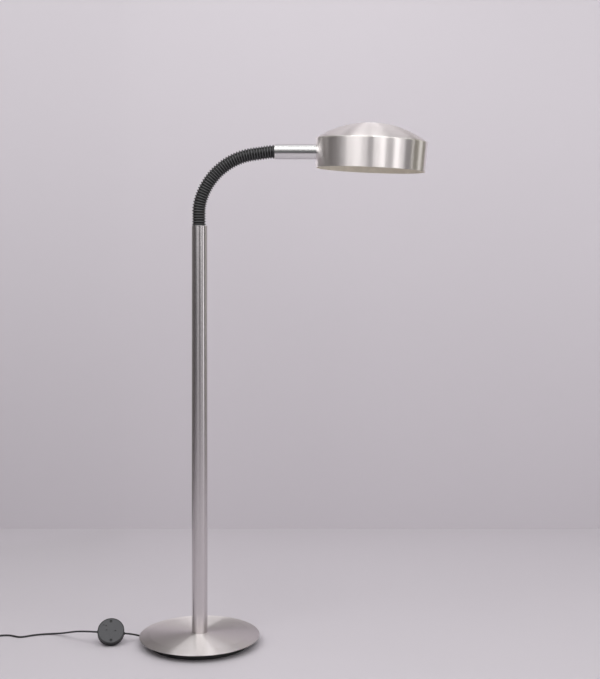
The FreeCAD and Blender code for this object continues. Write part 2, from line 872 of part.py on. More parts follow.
def make_switch():
    place = switch_place()
    radius = size("switch_radius")
    inner = radius - size("switch_wall")
    side = size("switch_side")
    top = size("switch_top")
    plate = size("switch_plate")
    under_lip = top - size("top_lip")
    button = size("button_radius")
    opening = button + size("button_play")
    collar = button + size("button_flange")
    shoulder = opening + size("switch_wall")
    recess = radius - size("switch_lip")
    corner_post = size("post_radius")
    shell = turned("switch_shell", [
        (radius, 0),
        (radius, side),
        (shoulder, top),
        (opening, top),
        (opening, under_lip),
        (shoulder + SEAT, under_lip),
        (inner, side - SEAT * 4),
        (inner, plate + SEAT),
        (recess, plate + SEAT),
        (recess, 0),
    ], place=place)
    posts = []
    ports = []
    holes = []
    for sign in (1, -1):
        spot = size("screw_place") * sign
        fall = (size("screw_place") + corner_post - shoulder) / (inner - shoulder)
        roof = under_lip + (side - under_lip) * fall
        posts.append(cylinder("switch_post_%d" % (sign + 2), corner_post, roof - plate - SEAT,
                              place * at(y=spot, z=plate + SEAT)))
        holes.append(cylinder("post_hole_%d" % (sign + 2), size("screw_radius") + FIT, size("screw_length"),
                              place * at(y=spot, z=0)))
        ports.append(cylinder("switch_port_%d" % (sign + 2), size("port_radius"),
                              size("port_reach") + size("switch_wall"),
                              port_place(sign) * at(z=-(size("port_reach") + size("switch_wall")))))
    cut("switch_housing", fused("switch_outside", shell, *posts, *ports), fused("switch_holes", *holes))

    disc = cylinder("switch_disc", recess - SEAT, plate, place)
    sinks = []
    screws = []
    for sign in (1, -1):
        spot = size("screw_place") * sign
        sink = size("screw_sink")
        head = size("screw_head")
        shank = size("screw_radius")
        sinks.append(cylinder("sink_%d" % (sign + 2), head + SEAT, sink, place * at(y=spot)))
        sinks.append(cylinder("bore_%d" % (sign + 2), shank + FIT, plate, place * at(y=spot)))
        sinks.append(cylinder("spot_%d" % (sign + 2), size("spot_radius"), size("spot_depth"),
                              switch_turned() * at(x=size("spot_place") * sign)))
        cap = cylinder("head_%d" % (sign + 2), head, size("screw_head_height"),
                       place * at(y=spot, z=sink - size("screw_head_height")))
        pin = cylinder("shank_%d" % (sign + 2), shank, size("screw_length") - sink - SEAT,
                       place * at(y=spot, z=sink))
        screws.append(fused("screw_%d" % (sign + 2), cap, pin))
    for number, (x, y, dimple) in enumerate(DIMPLES):
        sinks.append(cylinder("dimple_%d" % number, dimple, size("spot_depth"), place * at(x=x, y=y)))
    cut("switch_base", disc, fused("plate_holes", *sinks))
    grouped("switch_screws", *screws)

    wall = size("button_wall")
    crown = size("button_top")
    brim = under_lip - size("button_play")
    cap = turned("switch_button", [
        (0, crown),
        (button, crown),
        (button, brim),
        (collar, brim),
        (collar, brim - size("flange_height")),
        (button - wall, brim - size("flange_height")),
        (button - wall, crown - wall),
        (0, crown - wall),
    ], place=place)
    rounded(cap, size("button_round"), (button, crown))

    wire = size("spring_wire")
    height = crown - wall - plate - wire * 2 - SEAT * 2
    helix = doc.addObject("Part::Helix", "spring_line")
    bind(helix, Pitch=height / size("spring_turns"), Height=height, Radius=size("spring_radius"))
    ring = doc.addObject("Part::Circle", "spring_section")
    bind(ring, Radius=wire)
    ring.Placement = at(x=size("spring_radius"), turn=Rotation(Vector(1, 0, 0), 90))
    spring = doc.addObject("Part::Sweep", "switch_spring")
    doc.recompute()
    spring.Sections = [ring]
    spring.Spine = (helix, ["Edge%d" % (number + 1) for number in range(len(helix.Shape.Edges))])
    spring.Solid = True
    spring.Frenet = True
    spring.Placement = place * at(z=plate + wire + SEAT)


# ---------------------------------------------------------------- cord, coil and plug
cord_level = SIZES["cord_radius"] + SIZES["cord_lift"]
coil_step = 2 * SIZES["cord_radius"] + SIZES["coil_gap"]
coil_outer = SIZES["coil_inner"] + SIZES["coil_turns"] * coil_step

# Between the base and the switch, as chosen from the photograph.
SWITCH_ROUTE = [
    (-152.5, 13.4, 11.6),
    (-158.6, 9.6, 14.3),
    (-164.9, 2.5, 19.2),
]
# From the switch over the floor to the coil.
FLOOR_ROUTE = [
    (-283.0, -4.5, 28.5),
    (-304.0, 12.0, 22.5),
    (-325.0, 32.0, 13.5),
    (-347.0, 49.0, 5.6),
    (-371.0, 57.0, cord_level),
    (-394.0, 53.0, cord_level),
    (-415.0, 46.5, cord_level),
    (-434.0, 34.0, cord_level),
    (-449.0, 33.0, cord_level),
    (-467.0, 45.0, cord_level),
    (-486.0, 46.5, cord_level),
    (-503.0, 39.0, cord_level),
]


def coil_line(turns):
    """A point of the coil and its heading: in along the floor, up a layer in half a turn, and out again."""
    side = SIZES["coil_turns"]
    angle = math.radians(90) + 2 * math.pi * turns
    height = cord_level
    slope = 0.0
    if turns <= side:
        radius = coil_outer - coil_step * turns
        step = -coil_step
    elif turns < side + 0.5:
        share = (turns - side) * 2
        radius = SIZES["coil_inner"] - coil_step * math.sin(math.pi * share) / (2 * math.pi)
        step = -coil_step * math.cos(math.pi * share)
        height += coil_step * share * share * (3 - 2 * share)
        slope = coil_step * 6 * share * (1 - share) * 2
    else:
        radius = SIZES["coil_inner"] + coil_step * (turns - side - 0.5)
        step = coil_step
        height += coil_step
    centre = Vector(SIZES["coil_x"], SIZES["coil_y"], height)
    outward = Vector(math.cos(angle), math.sin(angle), 0)
    around = Vector(-math.sin(angle), math.cos(angle), 0)
    heading = around * (2 * math.pi * radius) + outward * step + Vector(0, 0, slope)
    return centre + outward * radius, heading.normalize()


def biarc(start, heading, finish, last_heading):
    """Two arcs that join two points with the given headings."""
    across = finish - start
    both = heading + last_heading
    spread = 2 * (1 - heading.dot(last_heading))
    along = across.dot(both)
    reach = (math.sqrt(along ** 2 + spread * across.dot(across)) - along) / spread
    first_corner = start + heading * reach
    last_corner = finish - last_heading * reach
    meeting = (first_corner + last_corner) * 0.5
    return [arc_between(start, first_corner, meeting), arc_between(meeting, last_corner, finish)]


def coil_stops():
    """Turn counts a quarter turn apart or less, with stops where the layers change."""
    side = SIZES["coil_turns"]
    counts = []
    for start, finish in ((0.0, side), (side, side + 0.5), (side + 0.5, 2 * side + 0.5)):
        steps = max(2, math.ceil((finish - start) * 4))
        counts += [start + (finish - start) * number / steps for number in range(steps)]
    return counts + [2 * side + 0.5]


def self_gap(wire):
    """The least room between the tube and itself, on points along it."""
    points = wire.discretize(Distance=2.0)
    apart = int(3 * coil_step)
    least = min((first - other).Length
                for place, first in enumerate(points) for other in points[place + apart:])
    return least - 2 * SIZES["cord_radius"]


def make_cord():
    """The free cord: base to switch, switch to coil, the coil, and the plug at its end."""
    diameter = 2 * SIZES["cord_radius"]
    out = gland_place(gland_tip).Base
    right = port_place(1).Base
    wire, radii = bent_wire([out, gland_place(gland_tip + size("gland_run")).Base]
                            + [Vector(*spot) for spot in SWITCH_ROUTE]
                            + [(port_place(1) * at(z=size("right_run"))).Base, right])
    tube("cord_to_switch", wire, cord, radii)

    stops = [coil_line(turns) for turns in coil_stops()]
    coil_start = stops[0][0] - stops[0][1] * diameter
    coil_end = stops[-1][0] + stops[-1][1] * SIZES["coil_tail"]
    left = port_place(-1).Base
    wire, radii = bent_wire([left, (port_place(-1) * at(z=size("left_run"))).Base]
                            + [Vector(*spot) for spot in FLOOR_ROUTE]
                            + [coil_start - stops[0][1] * SIZES["coil_run"], coil_start])
    tube("cord_to_coil", wire, cord, radii)

    edges = [Part.LineSegment(coil_start, stops[0][0])]
    for (start, heading), (finish, last_heading) in zip(stops, stops[1:]):
        edges += biarc(start, heading, finish, last_heading)
    edges.append(Part.LineSegment(stops[-1][0], coil_end))
    wire = Part.Wire([edge.toShape() for edge in edges])
    tube("cord_coil", wire, cord, [SIZES["coil_inner"]])
    print("cord_coil: least gap to itself %.2f" % self_gap(wire))
    make_plug(coil_end, stops[-1][1])


def make_plug(end, heading):
    """A flat two-pin plug that lies on the floor, with its tapered end on the cord."""
    yaw = math.degrees(math.atan2(heading.y, heading.x))
    face = Rotation(Vector(0, 0, 1), yaw) * Rotation(Vector(0, 1, 0), 90) * Rotation(Vector(0, 0, 1), 90)
    place = Placement(end, face)
    relief = size("plug_relief")
    length = size("plug_length")
    half = size("plug_width") / 2
    rear = size("plug_rear") / 2
    corner = size("plug_corner")
    thick = cord_level + coil_step

    cone = doc.addObject("Part::Cone", "plug_taper")
    bind(cone, Radius1=cord + size("relief_wall"), Radius2=size("plug_relief_radius"), Height=relief + SEAT)
    cone.Placement = place

    body = new_body("plug_block", place)
    sketch = new_sketch(body, "plug_outline", "XZ_Plane")
    draw(sketch, [(-rear, relief), (rear, relief), (half, relief + corner), (half, relief + length - corner),
                  (half - corner / 3, relief + length), (-half + corner / 3, relief + length),
                  (-half, relief + length - corner), (-half, relief + corner)])
    pad = body.newObject("PartDesign::Pad", "plug_pad")
    pad.Profile = sketch
    pad.Length = 2 * (thick - SIZES["cord_lift"])
    pad.Midplane = True
    doc.recompute()
    upright = ["Edge%d" % (number + 1) for number, edge in enumerate(pad.Shape.Edges)
               if abs(edge.Length - float(pad.Length)) < 1e-6]
    soft = body.newObject("PartDesign::Fillet", "plug_soft")
    soft.Base = (pad, upright)
    bind(soft, Radius=size("plug_round"))
    pin = size("pin_radius")
    inner = size("root_radius")
    bevel = size("pin_bevel")
    pins = []
    holes = []
    for sign in (1, -1):
        spot = place * at(x=size("pin_spacing") / 2 * sign, z=relief + length)
        pins.append(turned("pin_%d" % (sign + 2), [
            (0, -size("pin_root")),
            (inner, -size("pin_root")),
            (inner, size("pin_step")),
            (pin, size("pin_step")),
            (pin, size("pin_length") - bevel),
            (pin - bevel, size("pin_length")),
            (0, size("pin_length")),
        ], place=spot))
        holes.append(cylinder("pin_hole_%d" % (sign + 2), inner + FIT, size("pin_root") * 2,
                              spot * at(z=-size("pin_root"))))
    cut("plug_body", fused("plug_moulding", body, cone), fused("pin_holes", *holes))
    grouped("plug_pins", *pins)


# ---------------------------------------------------------------- the whole lamp
NODES = [
    "base_cover", "base_tray", "base_weight", "base_mat", "cord_gland",
    "pole", "pole_foot_plug", "pole_nut", "pole_top_plug", "pole_lead", "neck_lead", "head_lead",
    "arm_tube", "arm_plug", "arm_end_plug", "shade", "shade_nut", "lampholder", "bulb_cap", "bulb_glass",
    "switch_housing", "switch_base", "switch_button", "switch_spring", "switch_screws",
    "cord_to_switch", "cord_to_coil", "cord_coil", "plug_body", "plug_pins",
]
NODES += ["neck_cover_%02d" % number for number in range(1, SEGMENTS + 1)]
NODES += ["neck_core_%02d" % number for number in range(1, SEGMENTS + 1)]

make_base()
make_gland()
make_pole()
for number in range(1, SEGMENTS + 1):
    make_neck_cover(number)
    make_neck_core(number)
make_neck_lead()
make_arm()
make_shade()
make_light()
make_leads()
make_switch()
make_cord()
doc.recompute()

for item in doc.Objects:
    if "Invalid" in item.State or "Error" in item.State:
        raise RuntimeError("%s did not build" % item.Label)

os.makedirs("parts", exist_ok=True)
for name in NODES:
    shape = doc.getObject(name).Shape
    if shape.isNull() or not shape.isValid() or not shape.Solids:
        raise RuntimeError("%s has no valid solid" % name)
    shape.exportStep("parts/%s.step" % name)
print("%d nodes" % len(NODES))
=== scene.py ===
"""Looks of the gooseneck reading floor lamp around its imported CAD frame.

Metres, +Z up, +X from the pole to the shade. Sizes in capitals are millimetres unless they say otherwise.
"""
import json
import math

import bmesh
import bpy
import numpy as np
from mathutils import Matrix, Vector


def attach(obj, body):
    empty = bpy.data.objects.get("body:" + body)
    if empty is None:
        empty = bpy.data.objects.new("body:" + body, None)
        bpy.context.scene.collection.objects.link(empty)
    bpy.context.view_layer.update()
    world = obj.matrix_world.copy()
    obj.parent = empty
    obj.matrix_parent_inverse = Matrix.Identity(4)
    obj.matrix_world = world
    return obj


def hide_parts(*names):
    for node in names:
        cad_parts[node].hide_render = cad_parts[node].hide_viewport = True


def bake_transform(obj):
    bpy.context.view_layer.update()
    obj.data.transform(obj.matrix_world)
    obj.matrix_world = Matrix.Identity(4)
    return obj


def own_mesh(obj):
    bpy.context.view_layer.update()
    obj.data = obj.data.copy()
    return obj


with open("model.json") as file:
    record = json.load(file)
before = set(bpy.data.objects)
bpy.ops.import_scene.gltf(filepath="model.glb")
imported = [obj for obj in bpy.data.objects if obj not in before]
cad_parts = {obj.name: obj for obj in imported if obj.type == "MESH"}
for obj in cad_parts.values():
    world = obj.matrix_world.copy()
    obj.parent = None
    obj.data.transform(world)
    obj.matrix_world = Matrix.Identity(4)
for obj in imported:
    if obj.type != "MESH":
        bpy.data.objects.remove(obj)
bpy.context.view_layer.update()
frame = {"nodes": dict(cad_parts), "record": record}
MM = 0.001

# ---------------------------------------------------------------- camera
camera = bpy.data.objects.new("camera", bpy.data.cameras.new("camera"))
bpy.context.scene.collection.objects.link(camera)
camera.location = (0.243, -2.890, 0.986)
camera.rotation_euler = (math.radians(90), 0, 0)
camera.data.lens = 63.25
camera.data.sensor_width = 36
camera.data.shift_y = -0.1532
camera.data.clip_end = 50
bpy.context.scene.camera = camera
bpy.context.scene.view_settings.view_transform = "Standard"

# ---------------------------------------------------------------- the cord's sizes and routes, as in part.py
CORD_RADIUS = 2.1
CORD_LEVEL = 2.2
GLAND_ANGLE = 174.0
FOOT_X = -1.7
GLAND_HEIGHT = 11.0
GLAND_TIP = 136.7
GLAND_RUN = 7.6
SWITCH_PLACE = (-213.0, -12.4, 32.9584)
SWITCH_TURN = 9.0
SWITCH_TIP = 134.4
PORT_TURN = 6.5
PORT_REACH = 33.2
PORT_DEPTH = 11.0
RIGHT_RUN = 8.9
LEFT_RUN = 15.2
SWITCH_ROUTE = [(-152.5, 13.4, 13.2), (-158.6, 9.6, 15.8), (-164.9, 2.5, 19.4)]
FLOOR_ROUTE = [
    (-283, -4.5, 28.5), (-304, 12, 22.5), (-325, 32, 13.5), (-347, 49, 5.6),
    (-371, 57, CORD_LEVEL), (-394, 53, CORD_LEVEL), (-415, 46.5, CORD_LEVEL), (-434, 34, CORD_LEVEL),
    (-449, 33, CORD_LEVEL), (-467, 45, CORD_LEVEL), (-486, 46.5, CORD_LEVEL), (-503, 39, CORD_LEVEL),
]
COIL_CENTRE = (-540.0, -2.6)
COIL_INNER = 17.6
COIL_STEP = 2 * CORD_RADIUS + 0.45
COIL_TURNS = 3.875
COIL_OUTER = COIL_INNER + COIL_TURNS * COIL_STEP
COIL_TAIL = 10.0
COIL_RUN = 14.0
POINTS_EACH_TURN = 16
CORD_SIDES = 16

turn, tip, port_turn = np.radians([SWITCH_TURN, SWITCH_TIP, PORT_TURN])
SWITCH_ACROSS = np.array([math.cos(turn), math.sin(turn), 0])
SWITCH_UP = np.array([-math.sin(turn) * math.sin(tip), math.cos(turn) * math.sin(tip), math.cos(tip)])
SWITCH_SIDE = np.cross(SWITCH_UP, SWITCH_ACROSS)
PORT_WAY = math.cos(port_turn) * SWITCH_ACROSS + math.sin(port_turn) * SWITCH_SIDE


def port(side, out=0.0):
    """A point straight out of the switch's port on side +1 or -1."""
    spot = PORT_WAY * side * (PORT_REACH + out) + SWITCH_UP * PORT_DEPTH
    return np.array(SWITCH_PLACE) + spot


def gland(distance):
    """A point on the line along which the cord leaves the base."""
    angle = math.radians(GLAND_ANGLE)
    return np.array([FOOT_X + distance * math.cos(angle), distance * math.sin(angle), GLAND_HEIGHT])


def coil_points():
    """Turns of a flat spiral: in along the floor, up one layer in half a turn, and out again."""
    count = int((2 * COIL_TURNS + 0.5) * POINTS_EACH_TURN) + 1
    turns = np.linspace(0, 2 * COIL_TURNS + 0.5, count)
    climb = np.clip((turns - COIL_TURNS) * 2, 0, 1)
    inward = np.minimum(turns, COIL_TURNS)
    outward = np.maximum(turns - COIL_TURNS - 0.5, 0)
    radius = COIL_OUTER - COIL_STEP * (inward - outward) - COIL_STEP * np.sin(math.pi * climb) / (2 * math.pi)
    height = CORD_LEVEL + COIL_STEP * climb * climb * (3 - 2 * climb)
    angle = math.pi / 2 + 2 * math.pi * turns
    return np.stack([COIL_CENTRE[0] + radius * np.cos(angle),
                     COIL_CENTRE[1] + radius * np.sin(angle), height], 1)


def route_line(name, points):
    """The smooth line of a NURBS curve whose control points are the route's points, in metres."""
    data = bpy.data.curves.new(name + "_route", "CURVE")
    data.dimensions = "3D"
    data.resolution_u = 6
    spline = data.splines.new("NURBS")
    spline.points.add(len(points) - 1)
    spline.points.foreach_set("co", np.c_[np.array(points) * MM, np.ones(len(points))].ravel())
    spline.order_u = 3
    spline.use_endpoint_u = True
    route = bpy.data.objects.new(name + "_route", data)
    mesh = bpy.data.meshes.new_from_object(route)
    line = np.empty(len(mesh.vertices) * 3)
    mesh.vertices.foreach_get("co", line)
    bpy.data.objects.remove(route)
    bpy.data.curves.remove(data)
    bpy.data.meshes.remove(mesh)
    return line.reshape(-1, 3)


def link_mesh(name, mesh):
    """A new object in the scene with this mesh."""
    piece = bpy.data.objects.new(name, mesh)
    bpy.context.scene.collection.objects.link(piece)
    return piece


def skin(name, rows, closed_rows=False, sharp_rows=()):
    """A surface through rows of points, each a closed ring; rows of no width close up to one point.

    The last row joins the first if closed_rows, and the edges along sharp_rows keep their corner.
    """
    count, columns = rows.shape[:2]
    bands = count if closed_rows else count - 1
    row, column = np.meshgrid(np.arange(bands), np.arange(columns), indexing="ij")
    above, beside = (row + 1) % count, (column + 1) % columns
    quads = np.stack([row * columns + column, row * columns + beside,
                      above * columns + beside, above * columns + column], -1).reshape(-1, 4)
    mesh = bpy.data.meshes.new(name)
    mesh.from_pydata((rows.reshape(-1, 3) * MM).tolist(), [], quads.tolist())
    mesh.shade_smooth()
    if len(sharp_rows):
        ends = np.empty(len(mesh.edges) * 2, int)
        mesh.edges.foreach_get("vertices", ends)
        ends = ends.reshape(-1, 2) // columns
        sharp = (ends[:, 0] == ends[:, 1]) & np.isin(ends[:, 0], np.array(sharp_rows) % count)
        mesh.edges.foreach_set("use_edge_sharp", sharp)
    merged = bmesh.new()
    merged.from_mesh(mesh)
    bmesh.ops.remove_doubles(merged, verts=merged.verts, dist=1e-7)
    merged.to_mesh(mesh)
    merged.free()
    return link_mesh(name, mesh)


def cord_tube(name, line):
    """A round tube along a line that never stands upright: rings square to it, closed at both ends."""
    way = np.gradient(line, axis=0)
    way /= np.linalg.norm(way, axis=1)[:, None]
    side = np.cross(way, (0, 0, 1))
    side /= np.linalg.norm(side, axis=1)[:, None]
    over = np.cross(side, way)
    angle = np.arange(CORD_SIDES) * 2 * math.pi / CORD_SIDES
    ring = np.cos(angle)[None, :, None] * side[:, None] + np.sin(angle)[None, :, None] * over[:, None]
    centre, point = line[:, None] / MM, 0 * ring[:1]
    rows = np.concatenate([centre[:1] + point, centre + CORD_RADIUS * ring, centre[-1:] + point])
    return skin(name, rows, False, [1, len(rows) - 2])


switch_line = route_line("cord_to_foot_switch", [gland(GLAND_TIP), gland(GLAND_TIP + GLAND_RUN)]
                         + SWITCH_ROUTE + [port(1, RIGHT_RUN), port(1)])
to_switch = cord_tube("cord_to_foot_switch", switch_line)
coil = coil_points()
way_in = np.array([-2 * math.pi * COIL_OUTER, -COIL_STEP, 0])
way_in /= np.linalg.norm(way_in)
coil_start = coil[0] - way_in * 2 * CORD_RADIUS
way_out = np.array([-COIL_STEP, -2 * math.pi * COIL_OUTER, 0])
way_out /= np.linalg.norm(way_out)
plug_line = route_line("cord_to_plug", [port(-1), port(-1, LEFT_RUN)] + FLOOR_ROUTE
                       + [coil_start - way_in * COIL_RUN] + list(coil) + [coil[-1] + way_out * COIL_TAIL])
to_plug = cord_tube("cord_to_plug", plug_line)
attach(to_switch, "stand")
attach(to_plug, "stand")
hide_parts("cord_to_switch")
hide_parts("cord_to_coil", "cord_coil")
nodes = frame["nodes"]


# ---------------------------------------------------------------- surfaces
HOLD_SHARE, HOLD_MOST = 0.3, 0.3
COLUMNS_BASE, COLUMNS_TUBE, COLUMNS_SHADE = 256, 96, 320


def rounded_outline(corners, steps=5):
    """Points of a closed outline of corners, given as (radius, height, rounding): each rounding is an arc.

    A point on either side of an arc, HOLD_SHARE of the rounding away, keeps the shading of the flats.
    """
    points = []
    spots = np.array([corner[:2] for corner in corners], float)
    for place, corner in enumerate(corners):
        here, rounding = spots[place], corner[2]
        if not rounding:
            points.append(here)
            continue
        back, ahead = spots[place - 1] - here, spots[(place + 1) % len(spots)] - here
        back, ahead = back / np.linalg.norm(back), ahead / np.linalg.norm(ahead)
        half = math.acos(np.clip(back @ ahead, -1, 1)) / 2
        reach, swing = rounding / math.tan(half), math.pi - 2 * half
        middle = here + (back + ahead) / np.linalg.norm(back + ahead) * rounding / math.sin(half)
        first, last = here + back * reach - middle, here + ahead * reach - middle
        share = np.linspace(0, 1, steps + 1)[:, None]
        arc = middle + (np.sin((1 - share) * swing) * first + np.sin(share * swing) * last) / math.sin(swing)
        hold = min(rounding * HOLD_SHARE, HOLD_MOST)
        points += [here + back * (reach + hold), *arc, here + ahead * (reach + hold)]
    return np.array(points)


class Axis:
    """A turned piece's own frame: an origin, and the directions of its X, Y and Z."""

    def __init__(self, origin, across, up):
        self.origin, self.across, self.up = (np.array(item, float) for item in (origin, across, up))
        self.side = np.cross(self.up, self.across)

    def points(self, radius, angle, height):
        """Points at these radii, angles round the axis and heights along it; the arrays fit each other."""
        return (self.origin + (radius * np.cos(angle))[..., None] * self.across
                + (radius * np.sin(angle))[..., None] * self.side + height[..., None] * self.up)


def turned_grid(outline, columns):
    """Radius, height and angle of every point of an outline of (radius, height) carried round an axis."""
    angle = np.arange(columns) * 2 * math.pi / columns
    return np.broadcast_arrays(outline[:, :1], outline[:, 1:], angle[None, :])


def lathe(name, outline, axis, columns, closed_rows=True):
    """A turned piece: an anticlockwise outline of (radius, height) carried round the axis."""
    radius, height, angle = turned_grid(outline, columns)
    return skin(name, axis.points(radius, angle, height), closed_rows)


# ---------------------------------------------------------------- neck hose and the lead inside it
POLE_TOP = 1010.0
RIB_PITCH = 6.5
RIBS = 45
RIBS_EACH = 3
LINKS = 15
LINK = RIB_PITCH * RIBS_EACH
NECK_FOOT = 32.0
LOWER_BEND, LOWER_TURN = 105, 15.0  # radius, and degrees
UPPER_BEND, UPPER_TURN = 155, 66.6
# Runs of (length, degrees turned): straight, two arcs, straight again, and the last link, which ends level.
NECK_RUNS = [(NECK_FOOT, 0.0), (LOWER_BEND * math.radians(LOWER_TURN), LOWER_TURN),
             (UPPER_BEND * math.radians(UPPER_TURN), UPPER_TURN)]
NECK_RUNS.append((LINK * (LINKS - 1) - sum(run[0] for run in NECK_RUNS), 0.0))
NECK_RUNS.append((LINK, 90 - LOWER_TURN - UPPER_TURN))
NECK_STEPS = 6000
HOSE_BORE = 12.4
RIB_ROOT = 14.2
RIB_DEPTH = 2.9
RIB_HALF = 1.85
RIB_STOPS = 13
HOSE_COLUMNS = 72
LEAD_STOPS, LEAD_COLUMNS = 15, 20
PARTED_JOINTS = (3, 7, 9)
SLEEVE_REACH = 3.4
SLEEVE_RADIUS, SLEEVE_BORE = 12.35, 12.1
BODY_OF = ["stand"] + ["neck_link_%02d" % number for number in range(2, LINKS)] + ["head"]


def neck_line(distance):
    """Middle of the neck and its heading from upright: straight runs and arcs, added up in fine steps."""
    ends = np.cumsum([0.0] + [run[0] for run in NECK_RUNS])
    turns = np.radians(np.cumsum([0.0] + [run[1] for run in NECK_RUNS]))
    fine = np.linspace(0, ends[-1], NECK_STEPS + 1)
    tilt = np.interp((fine[1:] + fine[:-1]) / 2, ends, turns)
    step = fine[1] - fine[0]
    x = FOOT_X + np.r_[0, np.cumsum(np.sin(tilt))] * step
    z = POLE_TOP + np.r_[0, np.cumsum(np.cos(tilt))] * step
    return np.interp(distance, fine, x), np.interp(distance, fine, z), np.interp(distance, ends, turns)


def neck_rows(stops, radii, columns):
    """Rings of these radii round the neck's middle, square to it, at these distances from the pole."""
    x, z, tilt = (item[:, None] for item in neck_line(stops))
    angle = np.arange(columns) * 2 * math.pi / columns
    across, side = radii[:, None] * np.cos(angle), radii[:, None] * np.sin(angle)
    return np.stack([x + across * np.cos(tilt), side, z - across * np.sin(tilt)], -1)


def rib_outline(first_rib, last_rib):
    """Stops and radii over whole ribs, groove to groove: each crest is a half ellipse."""
    share = np.sin(np.linspace(-math.pi / 2, math.pi / 2, RIB_STOPS))
    crest = RIB_ROOT + RIB_DEPTH * np.sqrt(1 - share ** 2)
    offsets = np.r_[-RIB_PITCH / 2, share * RIB_HALF]
    radii = np.r_[RIB_ROOT, crest]
    middles = (np.arange(first_rib, last_rib) + 0.5) * RIB_PITCH
    stops = np.r_[(middles[:, None] + offsets).ravel(), last_rib * RIB_PITCH]
    return stops, np.r_[np.tile(radii, len(middles)), RIB_ROOT]


def mark_crests(piece, rows):
    """Give each point its height between the grooves and the crests, 0 to 1, for the highlight painted on the
    ribs.
    """
    height = np.clip((rows - RIB_ROOT) / RIB_DEPTH, 0, 1)
    crest = piece.data.attributes.new("crest", "FLOAT", "POINT")
    crest.data.foreach_set("value", np.repeat(height, len(piece.data.vertices) // len(rows)))


def blended(piece):
    """Bake the piece's placement into its mesh."""
    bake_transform(piece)
    return piece


def hose_piece(name, first, last, sleeve=0.0):
    """Ribs first to last and their bore as one skin. A thin sleeve may reach on inside the next piece."""
    stops, radii = rib_outline(first, last)
    corners = [len(stops) - 1, len(stops)]
    bore = np.linspace(last, first, (last - first) * 2 + 1) * RIB_PITCH
    bore_radius = HOSE_BORE
    if sleeve:
        bore_radius = SLEEVE_BORE
        stops = np.r_[stops, bore[0], bore[0] + sleeve, bore[0] + sleeve]
        radii = np.r_[radii, SLEEVE_RADIUS, SLEEVE_RADIUS, SLEEVE_BORE]
        corners += [len(stops) - 2, len(stops) - 1]
    stops, radii = np.r_[stops, bore], np.r_[radii, np.full(len(bore), bore_radius)]
    piece = skin(name, neck_rows(stops, radii, HOSE_COLUMNS), True, [0] + corners + [len(stops) - 1])
    mark_crests(piece, radii)
    return piece


def lead_piece(name, first, last):
    """The lead inside the neck between two distances from the pole, with flat ends."""
    stops = np.linspace(first, last, LEAD_STOPS)
    radii = np.r_[0, np.full(LEAD_STOPS, CORD_RADIUS), 0]
    return skin(name, neck_rows(np.r_[first, stops, last], radii, LEAD_COLUMNS), False, [1, LEAD_STOPS])


# Each piece of the hose and of the lead crosses one joint, from rib to rib.
hose, leads = [], []
for number in range(1, LINKS):
    first = 0 if number == 1 else RIBS_EACH * number - 1
    last = RIBS if number == LINKS - 1 else RIBS_EACH * number + 2
    lead_first = LINK if number == 1 else (number - 0.5) * LINK
    lead_last = LINK * (LINKS - 1) if number == LINKS - 1 else (number + 0.5) * LINK
    if number in PARTED_JOINTS:
        joint = RIBS_EACH * number
        covers = [hose_piece("neck_hose_%02d_lower" % number, first, joint, SLEEVE_REACH),
                  hose_piece("neck_hose_%02d_upper" % number, joint, last)]
        wires = [lead_piece("neck_lead_%02d_lower" % number, lead_first, joint * RIB_PITCH),
                 lead_piece("neck_lead_%02d_upper" % number, joint * RIB_PITCH, lead_last)]
        for pair in (covers, wires):
            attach(pair[0], BODY_OF[number - 1])
            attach(pair[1], BODY_OF[number])
        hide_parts("neck_cover_%02d" % (number + 1))
    else:
        covers = [blended(hose_piece("neck_hose_%02d" % number, first, last))]
        wires = [blended(lead_piece("neck_lead_%02d" % number, lead_first, lead_last))]
    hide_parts("neck_cover_%02d" % number)
    for piece in wires:
        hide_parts("neck_lead")
    hose += covers
    leads += wires
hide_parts("neck_cover_%02d" % LINKS)

# ---------------------------------------------------------------- base, pole, arm and shade
UPRIGHT = Axis((0, 0, 0), (1, 0, 0), (0, 0, 1))
BASE_TOP, BASE_RIM_TOP, BASE_RIM_LOW = 26.6, 19.6, 17.7
SHOULDER_RADIUS, SHOULDER_TOP = 120.0, 24.2
UNDER_SHOULDER = (123.0, 23.8)
BASE_RADIUS, BASE_SHEET, BASE_FLAT, BOLT_HOLE = 145.0, 1.5, 21.0, 8.25
SHOULDER_ROUND, BASE_EDGE_ROUND, EDGE_ROUND = 30.0, 1.2, 0.3
PLATE_RINGS, PLATE_INSET = 12, 9
TUBE_RADIUS, TUBE_WALL, TUBE_END_ROUND = 19.0, 1.5, 0.5
ARM_LENGTH, ARM_SEAT_ROUND, ARM_SEAT_GAP = 100.0, 0.2, 0.05
neck_end_x, neck_end_z, _ = neck_line(np.array([LINK * LINKS]))
ARM = Axis((neck_end_x[0], 0, neck_end_z[0]), (0, 1, 0), (1, 0, 0))
DRUM_TOP, DRUM_RIM, DRUM_DEPTH, DOME_RISE = 135.6, 132.3, 71.0, 43.4
SHADE_WALL, ARM_DROP = 1.2, 33.0
SHADE_EDGE_ROUND, SHADE_INNER_ROUND, SHADE_RIM_ROUND = 2.6, 1.6, 0.45
DOME_RINGS = 40
draft = (DRUM_TOP - DRUM_RIM) / DRUM_DEPTH
drum_radius = DRUM_TOP - ARM_DROP * draft
lean = math.atan(draft)
tilted_x = np.array([math.cos(lean), 0, -math.sin(lean)])
tilted_z = np.array([math.sin(lean), 0, math.cos(lean)])
SHADE = Axis(ARM.origin + ARM.up * ARM_LENGTH + tilted_x * drum_radius + tilted_z * ARM_DROP,
             tilted_x, tilted_z)


